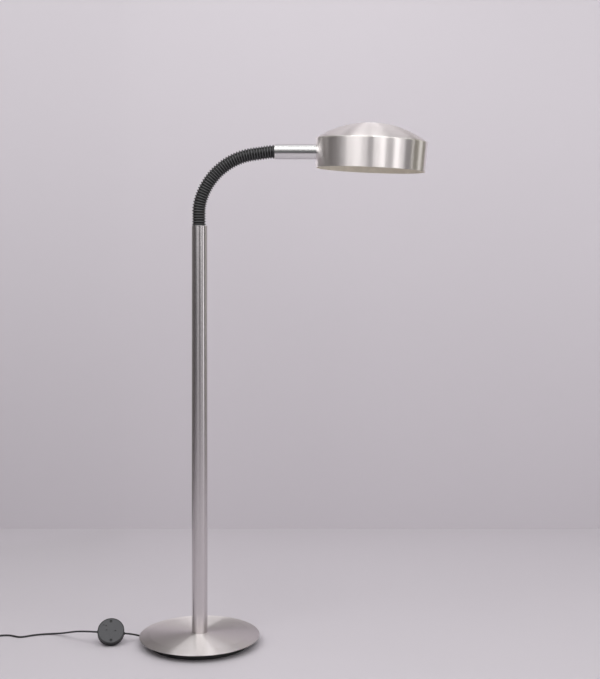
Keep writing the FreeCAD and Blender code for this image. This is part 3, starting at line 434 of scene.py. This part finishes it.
def base_cover():
    """A spun plate that falls away with the square of the distance, and breaks at its shoulder into a slope.

    The slope ends in a short lip. The underside is two straight slopes, as the frame has it.
    """
    low = BASE_TOP - BASE_SHEET
    radius = np.linspace(SHOULDER_RADIUS - PLATE_INSET, BASE_FLAT, PLATE_RINGS)
    share = (radius - BASE_FLAT) / (SHOULDER_RADIUS - BASE_FLAT)
    plate = [(*spot, 0) for spot in zip(radius, BASE_TOP - (BASE_TOP - SHOULDER_TOP) * share ** 2)]
    outline = rounded_outline([
        (BOLT_HOLE, low, EDGE_ROUND), (BASE_FLAT, low, 0), (*UNDER_SHOULDER, 0),
        (BASE_RADIUS - BASE_SHEET, BASE_RIM_TOP - BASE_SHEET, 0),
        (BASE_RADIUS - BASE_SHEET, BASE_RIM_LOW, 0),
        (BASE_RADIUS, BASE_RIM_LOW, EDGE_ROUND), (BASE_RADIUS, BASE_RIM_TOP, BASE_EDGE_ROUND),
        (SHOULDER_RADIUS, SHOULDER_TOP, SHOULDER_ROUND), *plate, (BOLT_HOLE, BASE_TOP, EDGE_ROUND)])
    return lathe("base_shell", outline, UPRIGHT, COLUMNS_BASE)


def pole_tube():
    """A straight tube with softened ends."""
    inner = TUBE_RADIUS - TUBE_WALL
    outline = rounded_outline([(inner, BASE_TOP, EDGE_ROUND), (TUBE_RADIUS, BASE_TOP, EDGE_ROUND),
                               (TUBE_RADIUS, POLE_TOP, TUBE_END_ROUND), (inner, POLE_TOP, EDGE_ROUND)])
    return lathe("pole_tube", outline, UPRIGHT, COLUMNS_TUBE)


def arm_sleeve():
    """A tube whose far end follows the drum: it reaches further by the drum's fall away from its middle."""
    inner = TUBE_RADIUS - TUBE_WALL
    outline = rounded_outline([(inner, 0, EDGE_ROUND), (TUBE_RADIUS, 0, TUBE_END_ROUND),
                               (TUBE_RADIUS, ARM_LENGTH, ARM_SEAT_ROUND),
                               (inner, ARM_LENGTH, ARM_SEAT_ROUND)])
    radius, height, angle = turned_grid(outline, COLUMNS_TUBE)
    fall = drum_radius - np.sqrt(drum_radius ** 2 - (radius * np.cos(angle)) ** 2)
    height = np.where(height > ARM_LENGTH / 2, height + fall - ARM_SEAT_GAP, height)
    return skin("arm_sleeve", ARM.points(radius, angle, height), True)


def shade_shell():
    """A shallow dome, an arc of one sphere, on a drum with a slight draft. The inner wall follows it."""
    sphere = (DRUM_TOP ** 2 + DOME_RISE ** 2) / (2 * DOME_RISE)
    centre = DOME_RISE - sphere
    swing = np.linspace(0, math.asin(DRUM_TOP / sphere), DOME_RINGS)
    dome = np.stack([sphere * np.sin(swing), centre + sphere * np.cos(swing)], 1)
    inside = sphere - SHADE_WALL
    bend = np.linspace(0, math.asin((DRUM_TOP - SHADE_WALL) / inside), DOME_RINGS)
    lining = np.stack([inside * np.sin(bend), centre + inside * np.cos(bend)], 1)
    corners = [(*spot, 0) for spot in lining[:-1]]
    corners.append((*lining[-1], SHADE_INNER_ROUND))
    corners += [(DRUM_RIM - SHADE_WALL, -DRUM_DEPTH, SHADE_RIM_ROUND),
                (DRUM_RIM, -DRUM_DEPTH, SHADE_RIM_ROUND), (DRUM_TOP, 0, SHADE_EDGE_ROUND)]
    corners += [(*spot, 0) for spot in dome[-2::-1]]
    return lathe("shade_shell", rounded_outline(corners, 6), SHADE, COLUMNS_SHADE, closed_rows=False)


rigid = []
for piece, node, body, slot in (
        (base_cover(), "base_cover", "stand", "base_aluminium"),
        (pole_tube(), "pole", "stand", "pole_steel"),
        (arm_sleeve(), "arm_tube", "head", "arm_steel"),
        (shade_shell(), "shade", "head", "shade_aluminium")):
    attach(piece, body)
    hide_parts(node)
    rigid.append((piece, slot))


# ---------------------------------------------------------------- foot switch spring
SPRING_RADIUS, SPRING_WIRE, SPRING_TURNS, SPRING_LOW, SPRING_HEIGHT = 6.0, 0.45, 6.0, 3.15, 23.2
SPRING_STEPS, WIRE_SIDES = 144, 10


def button_spring():
    """A round wire carried along a helix, with flat ends."""
    turns = np.linspace(0, SPRING_TURNS, SPRING_STEPS + 1)
    angle = 2 * math.pi * turns
    rise = SPRING_HEIGHT / SPRING_TURNS / (2 * math.pi)
    outward = np.stack([np.cos(angle), np.sin(angle), 0 * angle], 1)
    along = np.stack([-SPRING_RADIUS * np.sin(angle), SPRING_RADIUS * np.cos(angle),
                      np.full(len(angle), rise)], 1)
    along /= np.linalg.norm(along, axis=1)[:, None]
    upward = np.cross(outward, along)
    line = outward * SPRING_RADIUS + np.stack([0 * angle, 0 * angle, rise * angle], 1)
    around = np.arange(WIRE_SIDES) * 2 * math.pi / WIRE_SIDES
    wire = np.full(len(turns), SPRING_WIRE)
    wire[[0, -1]] = 0
    line[0], line[-1] = line[1], line[-2]
    rows = (line[:, None] + wire[:, None, None] * (np.cos(around)[None, :, None] * outward[:, None]
                                                   + np.sin(around)[None, :, None] * -upward[:, None]))
    rows[..., 2] += SPRING_LOW
    place = np.array([SWITCH_ACROSS, SWITCH_SIDE, SWITCH_UP])
    return skin("foot_switch_spring", np.array(SWITCH_PLACE) + rows @ place)


spring = button_spring()
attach(spring, "stand")
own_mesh(spring)
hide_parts("switch_spring")
rigid.append((spring, "spring_steel"))


# ---------------------------------------------------------------- shader node groups
NOISE_LOW, NOISE_HIGH = 0.3, 0.7  # between these a noise value runs from one finish to the other
SLANT_SHARE = 1.7  # how much faster the turning lines pass along the axis than away from it


def new_group(name, inputs, outputs):
    """An empty shader group. Inputs and outputs are (name, socket type, value) and (name, socket type)."""
    group = bpy.data.node_groups.new(name, "ShaderNodeTree")
    for label, kind, value in inputs:
        socket = group.interface.new_socket(label, in_out="INPUT", socket_type=kind)
        if value is not None:
            socket.default_value = value
    for label, kind in outputs:
        group.interface.new_socket(label, in_out="OUTPUT", socket_type=kind)
    return group, group.nodes.new("NodeGroupInput"), group.nodes.new("NodeGroupOutput")


def math_node(tree, operation, first, second=None):
    """The result of a Math node on numbers or sockets."""
    node = tree.nodes.new("ShaderNodeMath")
    node.operation = operation
    for socket, value in zip(node.inputs, (first, second)):
        if value is None:
            continue
        if isinstance(value, (int, float)):
            socket.default_value = value
        else:
            tree.links.new(value, socket)
    return node.outputs[0]


def lathe_lines():
    """Fine rings left by turning: noise that depends only on the distance from the axis and along it."""
    group, given, result = new_group(
        "lathe_lines", [("Vector", "NodeSocketVector", None), ("Lines per metre", "NodeSocketFloat", 1500.0)],
        [("Value", "NodeSocketFloat")])
    split = group.nodes.new("ShaderNodeSeparateXYZ")
    group.links.new(given.outputs["Vector"], split.inputs[0])
    x_squared, y_squared = (math_node(group, "POWER", split.outputs[axis], 2.0) for axis in (0, 1))
    across = math_node(group, "SQRT", math_node(group, "ADD", x_squared, y_squared))
    slanted = math_node(group, "ADD", across, math_node(group, "MULTIPLY", split.outputs[2], SLANT_SHARE))
    line = math_node(group, "MULTIPLY", slanted, given.outputs["Lines per metre"])
    noise = group.nodes.new("ShaderNodeTexNoise")
    noise.noise_dimensions = "1D"
    noise.inputs["Scale"].default_value = 1.0
    noise.inputs["Detail"].default_value = 3.0
    group.links.new(line, noise.inputs["W"])
    group.links.new(noise.outputs["Fac"], result.inputs["Value"])
    return group


def fine_grain():
    """Moulded grain: small even noise."""
    group, given, result = new_group(
        "fine_grain", [("Vector", "NodeSocketVector", None), ("Scale", "NodeSocketFloat", 900.0)],
        [("Value", "NodeSocketFloat")])
    noise = group.nodes.new("ShaderNodeTexNoise")
    noise.inputs["Detail"].default_value = 4.0
    group.links.new(given.outputs["Vector"], noise.inputs["Vector"])
    group.links.new(given.outputs["Scale"], noise.inputs["Scale"])
    group.links.new(noise.outputs["Fac"], result.inputs["Value"])
    return group


def soft_patches():
    """Slow unevenness of a finish, as handling leaves it."""
    group, given, result = new_group(
        "soft_patches", [("Vector", "NodeSocketVector", None), ("Scale", "NodeSocketFloat", 14.0)],
        [("Value", "NodeSocketFloat")])
    noise = group.nodes.new("ShaderNodeTexNoise")
    noise.inputs["Detail"].default_value = 5.0
    noise.inputs["Roughness"].default_value = 0.6
    group.links.new(given.outputs["Vector"], noise.inputs["Vector"])
    group.links.new(given.outputs["Scale"], noise.inputs["Scale"])
    group.links.new(noise.outputs["Fac"], result.inputs["Value"])
    return group


LATHE, GRAIN, PATCHES = lathe_lines(), fine_grain(), soft_patches()


class Finish:
    """A material being made: its tree, its Principled shader and short ways to add nodes to it."""

    def __init__(self, name, colour, roughness, metallic=0.0, centre=(0, 0, 0), turn=(0, 0, 0), **constants):
        self.material = bpy.data.materials.new(name)
        self.material.use_nodes = True
        self.tree = self.material.node_tree
        self.shader = self.tree.nodes["Principled BSDF"]
        self.colour, self.roughness = colour, roughness
        self.shader.inputs["Base Color"].default_value = (*colour, 1)
        self.shader.inputs["Roughness"].default_value = roughness
        self.shader.inputs["Metallic"].default_value = metallic
        for label, value in constants.items():
            self.shader.inputs[label.replace("_", " ")].default_value = value
        self.place = self.tree.nodes.new("ShaderNodeMapping")
        self.place.vector_type = "TEXTURE"
        self.place.inputs["Location"].default_value = centre
        self.place.inputs["Rotation"].default_value = turn
        where = self.tree.nodes.new("ShaderNodeTexCoord")
        self.tree.links.new(where.outputs["Object"], self.place.inputs["Vector"])

    def group(self, tree, **values):
        """The value of a shared group on this piece, with its inputs set."""
        node = self.tree.nodes.new("ShaderNodeGroup")
        node.node_tree = tree
        self.tree.links.new(self.place.outputs[0], node.inputs["Vector"])
        for label, value in values.items():
            node.inputs[label.replace("_", " ")].default_value = value
        return node.outputs["Value"]

    def scaled(self, value, low, high):
        """A noise value brought to run from low to high."""
        node = self.tree.nodes.new("ShaderNodeMapRange")
        self.tree.links.new(value, node.inputs["Value"])
        node.inputs["From Min"].default_value = NOISE_LOW
        node.inputs["From Max"].default_value = NOISE_HIGH
        node.inputs["To Min"].default_value = low
        node.inputs["To Max"].default_value = high
        return node.outputs[0]

    def rough(self, value, spread):
        """Roughness that varies with the value, by the spread on either side."""
        self.tree.links.new(self.scaled(value, self.roughness - spread, self.roughness + spread),
                            self.shader.inputs["Roughness"])
        return self

    def mixed(self, share, other):
        """The other colour in this share, 0 to 1, over the finish's own."""
        node = self.tree.nodes.new("ShaderNodeMix")
        node.data_type = "RGBA"
        node.inputs[6].default_value = (*self.colour, 1)
        node.inputs[7].default_value = (*other, 1)
        self.tree.links.new(share, node.inputs[0])
        self.tree.links.new(node.outputs[2], self.shader.inputs["Base Color"])
        return self

    def tint(self, value, other):
        """The other colour where the noise value is high."""
        return self.mixed(self.scaled(value, 0, 1), other)

    def painted_highlight(self, attribute, other, sharpness):
        """The other colour, a painted highlight, where the piece's own attribute comes near 1, the nearer the
        sharper.
        """
        node = self.tree.nodes.new("ShaderNodeAttribute")
        node.attribute_name = attribute
        return self.mixed(math_node(self.tree, "POWER", node.outputs["Fac"], sharpness), other)

    def bump(self, value, depth):
        """Relief of this depth in metres."""
        node = self.tree.nodes.new("ShaderNodeBump")
        node.inputs["Strength"].default_value = 1.0
        node.inputs["Distance"].default_value = depth
        self.tree.links.new(value, node.inputs["Height"])
        self.tree.links.new(node.outputs[0], self.shader.inputs["Normal"])
        return self

    def brushed_round(self, axis):
        """Brushing that runs round an axis, which draws highlights out across it."""
        node = self.tree.nodes.new("ShaderNodeTangent")
        node.direction_type = "RADIAL"
        node.axis = axis
        self.tree.links.new(node.outputs[0], self.shader.inputs["Tangent"])
        return self


QUARTER_TURN = 0.25  # turns the stretched highlight square to the brushing
TURNED_SPREAD, TURNED_DARK = 0.12, 0.96
MOULD_GRAIN, MOULD_RELIEF, MOULD_PATCHES = 900.0, 0.00003, 30.0
MOULD_SPREAD, MOULD_PALE, MOULD_LIFT = 0.2, 1.25, 0.002


def turned_metal(name, colour, roughness, anisotropic, axis="Z", centre=(0, 0, 0), turn=(0, 0, 0),
                 lines=1400.0):
    """Metal turned round an axis: fine rings in roughness and colour, and highlights drawn out across them."""
    finish = Finish(name, colour, roughness, 1.0, centre, turn,
                    Anisotropic=anisotropic, Anisotropic_Rotation=QUARTER_TURN)
    value = finish.group(LATHE, Lines_per_metre=lines)
    finish.rough(value, roughness * TURNED_SPREAD)
    finish.tint(value, tuple(part * TURNED_DARK for part in colour))
    return finish.brushed_round(axis).material


def moulded(name, colour, roughness, grain=MOULD_GRAIN, depth=MOULD_RELIEF, **constants):
    """Moulded, cast or painted: a small even grain, and slow patches in roughness and colour."""
    finish = Finish(name, colour, roughness, **constants)
    finish.bump(finish.group(GRAIN, Scale=grain), depth)
    patches = finish.group(PATCHES, Scale=MOULD_PATCHES)
    finish.rough(patches, roughness * MOULD_SPREAD)
    finish.tint(patches, tuple(part * MOULD_PALE + MOULD_LIFT for part in colour))
    return finish.material


def ribbed_hose():
    """Black plastic, with pale grey painted on the crests of its ribs as a painted highlight."""
    finish = Finish("ribbed_hose", (0.003, 0.003, 0.0032), 0.22)
    finish.bump(finish.group(GRAIN, Scale=MOULD_GRAIN), 0.00001)
    finish.rough(finish.group(PATCHES, Scale=MOULD_PATCHES), 0.04)
    return finish.painted_highlight("crest", (0.075, 0.075, 0.078), 3.0).material


AXIS_TO_ARM = (0, math.radians(90), 0)
SHADE_PLACE = dict(centre=tuple(SHADE.origin * MM), turn=(0, lean, 0))
materials = {
    "base_aluminium": turned_metal("spun_base_aluminium", (0.82, 0.78, 0.768), 0.42, 1.0, lines=900.0),
    "black_plastic": moulded("black_tray_plastic", (0.012, 0.012, 0.012), 0.45),
    "cast_weight": moulded("painted_cast_iron", (0.05, 0.05, 0.05), 0.6, 300.0, 0.0003),
    "floor_mat": moulded("foam_floor_mat", (0.02, 0.02, 0.02), 0.85, 1500.0, 0.0001),
    "cord_rubber": moulded("cord_sheath", (0.02, 0.019, 0.02), 0.4, 1800.0, 0.00001),
    "pole_steel": turned_metal("belt_polished_pole", (0.68, 0.64, 0.652), 0.17, 1.0, lines=1100.0),
    "turned_steel": turned_metal("turned_steel", (0.55, 0.55, 0.55), 0.3, 0.5),
    "arm_steel": turned_metal("polished_arm", (0.76, 0.75, 0.75), 0.15, 0.8, "X", turn=AXIS_TO_ARM),
    "turned_aluminium": turned_metal("turned_aluminium", (0.75, 0.75, 0.75), 0.3, 0.5, "X", turn=AXIS_TO_ARM),
    "shade_aluminium": turned_metal("spun_shade_aluminium", (0.90, 0.85, 0.835), 0.33, 0.95, **SHADE_PLACE),
    "brass_fittings": turned_metal("turned_brass", (0.72, 0.58, 0.32), 0.3, 0.3, "X", turn=AXIS_TO_ARM),
    "lampholder_plastic": moulded("lampholder_plastic", (0.02, 0.02, 0.02), 0.5),
    "switch_plastic": moulded("switch_plastic", (0.008, 0.008, 0.009), 0.5, 1200.0, 0.00004),
    "switch_plate_plastic": moulded("switch_plate_plastic", (0.062, 0.062, 0.067), 0.5, 1200.0, 0.00004),
    # The switch's screws are coloured near black: painted shade for their deep recesses.
    "black_screws": moulded("screws_painted_shade", (0.012, 0.012, 0.012), 0.35, 1500.0, 0.00001, metallic=0.4),
    "spring_steel": moulded("spring_steel", (0.5, 0.5, 0.5), 0.3, 1500.0, 0.00001, metallic=1.0),
    "plug_plastic": moulded("plug_plastic", (0.02, 0.02, 0.02), 0.32, 1200.0, 0.00002),
    "pin_brass": moulded("nickelled_pins", (0.75, 0.72, 0.64), 0.22, 1500.0, 0.00001, metallic=1.0),
    "hose_plastic": ribbed_hose(),
    "neck_steel": moulded("oiled_neck_steel", (0.4, 0.4, 0.4), 0.35, 1200.0, 0.00002, metallic=1.0),
    "bulb_glass": Finish("opal_glass", (0.93, 0.93, 0.9), 0.25, Transmission_Weight=0.4).material,
}
cream_paint = moulded("cream_reflector_paint", (0.80, 0.76, 0.66), 0.5, 700.0, 0.00002)
for subpart in frame["record"]["subparts"]:
    node = nodes[subpart["node"]]
    node.data.materials.clear()
    node.data.materials.append(materials[subpart["material_slot"]])
for piece, slot in ([(to_switch, "cord_rubber"), (to_plug, "cord_rubber")] + rigid
                    + [(item, "hose_plastic") for item in hose] + [(item, "cord_rubber") for item in leads]):
    piece.data.materials.append(materials[slot])

# The shade is painted inside: every face that looks towards its axis or down from under the dome.
DOME_FOOT = -2.0  # from this height up, the inside is the dome's lining
TURNED_INWARD = -0.2
shade = next(piece for piece, slot in rigid if slot == "shade_aluminium")
shade.data.materials.append(cream_paint)
centres, normals = (np.empty(len(shade.data.polygons) * 3) for _ in range(2))
shade.data.polygons.foreach_get("center", centres)
shade.data.polygons.foreach_get("normal", normals)
centres, normals = centres.reshape(-1, 3) - SHADE.origin * MM, normals.reshape(-1, 3)
height = centres @ SHADE.up
outward = centres - height[:, None] * SHADE.up
facing = np.einsum("ij,ij->i", normals, outward / np.linalg.norm(outward, axis=1)[:, None])
painted = np.where(height > DOME_FOOT * MM, normals @ SHADE.up < 0, facing < TURNED_INWARD)
shade.data.polygons.foreach_set("material_index", painted.astype(int))

# ---------------------------------------------------------------- floor, wall and light, in metres
WALL_Y = 1.125
HALF_FLOOR, WALL_HEIGHT, FLAG_HEIGHT = 7, 5, 3.0
STAND_OFF = 0.02  # between the wall and what stands at it


def four_corners(name, corners):
    """A piece of the studio with one flat face."""
    mesh = bpy.data.meshes.new(name)
    mesh.from_pydata(corners, [], [(0, 1, 2, 3)])
    item = link_mesh(name, mesh)
    return item


def plane(name, corners, colour):
    """The floor or the wall, seen from its front only."""
    item = four_corners(name, corners)
    paint = Finish(name + "_paint", colour, 0.6)
    clear = paint.tree.nodes.new("ShaderNodeBsdfTransparent")
    side = paint.tree.nodes.new("ShaderNodeNewGeometry")
    mix = paint.tree.nodes.new("ShaderNodeMixShader")
    paint.tree.links.new(side.outputs["Backfacing"], mix.inputs[0])
    paint.tree.links.new(paint.shader.outputs[0], mix.inputs[1])
    paint.tree.links.new(clear.outputs[0], mix.inputs[2])
    paint.tree.links.new(mix.outputs[0], paint.tree.nodes["Material Output"].inputs["Surface"])
    item.data.materials.append(paint.material)


def flag(name, first, last, colour):
    """A dark flag that stands between two places on the floor: only reflections show it."""
    item = four_corners(name, [(*first, 0), (*last, 0), (*last, FLAG_HEIGHT), (*first, FLAG_HEIGHT)])
    item.data.materials.append(Finish(name + "_cloth", colour, 0.9).material)
    item.visible_camera = item.visible_diffuse = item.visible_shadow = False


plane("floor", [(-HALF_FLOOR, -HALF_FLOOR, 0), (HALF_FLOOR, -HALF_FLOOR, 0),
                (HALF_FLOOR, HALF_FLOOR, 0), (-HALF_FLOOR, HALF_FLOOR, 0)], (0.64, 0.605, 0.64))
plane("wall", [(-HALF_FLOOR, WALL_Y, 0), (HALF_FLOOR, WALL_Y, 0),
               (HALF_FLOOR, WALL_Y, WALL_HEIGHT), (-HALF_FLOOR, WALL_Y, WALL_HEIGHT)], (0.655, 0.615, 0.655))


LAMP_CENTRE = np.array([0.3, 0.0, 1.15])
NARROWEST = 0.3  # of its full width, a lamp overhead keeps this much
# Each soft lamp stands on a sphere round the shade and spans a patch of it: azimuth from and to in degrees
# (0 is towards the camera, and it grows to the right), height from and to in degrees, distance, brightness.
LAMPS = [
    (-56, -38, 0, 20, 2.6, 0.83),
    (-56, -38, 20, 50, 2.6, 2.66),
    (-38, -20, -22, 0, 2.6, 0.22),
    (-38, -20, 0, 20, 2.6, 1.32),
    (-38, -20, 20, 50, 2.6, 1.81),
    (-20, -8, -22, 0, 2.6, 0.28),
    (-20, -8, 0, 20, 2.6, 0.39),
    (-20, -8, 20, 50, 2.6, 1.70),
    (-8, 4, 20, 50, 2.6, 0.40),
    (4, 16, 0, 20, 2.6, 0.89),
    (4, 16, 20, 50, 2.6, 2.86),
    (16, 28, -22, 0, 2.6, 0.37),
    (16, 28, 0, 20, 2.6, 2.03),
    (16, 28, 20, 50, 2.6, 1.51),
    (28, 45, 0, 20, 2.6, 0.18),
    (28, 45, 20, 50, 2.6, 1.67),
    (45, 57, -22, 0, 2.6, 0.89),
    (45, 57, 0, 20, 2.6, 1.78),
    (45, 57, 20, 50, 2.6, 1.91),
    (57, 69, -22, 0, 2.6, 1.23),
    (57, 69, 20, 50, 2.6, 1.67),
    (-105, -78, 20, 50, 2.6, 2.18),
    (-78, -56, 20, 50, 2.6, 1.66),
    (69, 88, 20, 50, 2.6, 0.96),
    (88, 107, -22, 20, 2.6, 0.91),
    (88, 107, 20, 50, 2.6, 1.04),
    (-60, -20, 50, 76, 2.2, 2.67),
    (-20, 20, 50, 76, 2.2, 0.27),
    (20, 60, 50, 76, 2.2, 3.21),
    (107, 125, -20, 25, 1.7, 0.55),
    (-125, -107, -20, 25, 1.7, 0.42),
    (-20, 20, 78, 102, 2.2, 0.42),
    (-160, -120, 40, 65, 1.25, 0.32),
    (120, 160, 40, 65, 1.25, 0.32),
    (-30, 30, 50, 80, 1.3, 0.51),
    (-30, 30, 80, 110, 1.3, 0.36),
    (-25, 25, 40, 60, 3.6, 0.87),
    (150, 210, 66, 88, 2.0, 0.33),
]


def area_lamp(name, place, outward, width, height, brightness):
    """An area lamp that looks back along outward; its watts give a plain brightness, 1 for white."""
    data = bpy.data.lights.new(name, "AREA")
    data.shape = "RECTANGLE"
    data.size, data.size_y = width, height
    data.energy = math.pi * width * height * brightness
    item = bpy.data.objects.new(name, data)
    item.location = place
    item.rotation_euler = Vector(-outward).to_track_quat("-Z", "Y").to_euler()
    item.visible_camera = False
    bpy.context.scene.collection.objects.link(item)
    return item


def soft_lamp(name, left, right, low, high, distance, brightness):
    """A lamp that fills its patch of the sphere."""
    azimuth, rise = math.radians((left + right) / 2), math.radians((low + high) / 2)
    outward = np.array([math.cos(rise) * math.sin(azimuth), -math.cos(rise) * math.cos(azimuth),
                        math.sin(rise)])
    width = 2 * distance * math.tan(math.radians(right - left) / 2) * max(math.cos(rise), NARROWEST)
    height = 2 * distance * math.tan(math.radians(high - low) / 2)
    area_lamp(name, LAMP_CENTRE + distance * outward, outward, width, height, brightness)


flag("right_flag", (1.4, WALL_Y - STAND_OFF), (3.4, -0.3), (0.27, 0.265, 0.22))
flag("left_flag", (-1.9, -0.9), (-1.6, 0.4), (0.13, 0.125, 0.12))
flag("rear_left_flag", (-1.6, 0.4), (-0.35, WALL_Y - STAND_OFF), (0.25, 0.24, 0.23))
for number, row in enumerate(LAMPS, 1):
    soft_lamp("soft_lamp_%02d" % number, *row)
# A weak card at the wall, behind the pole, which shows only in gloss.
rear_card = area_lamp("rear_card", (-0.05, WALL_Y - 0.03, 1.05), np.array([0.0, 1.0, 0.0]), 1.0, 0.9, 0.2)
rear_card.visible_diffuse = False
world = bpy.data.worlds.new("studio")
bpy.context.scene.world = world
world.use_nodes = True
world.node_tree.nodes["Background"].inputs[0].default_value = (1, 1, 1, 1)
world.node_tree.nodes["Background"].inputs[1].default_value = 0.09  # strength

bpy.context.view_layer.update()
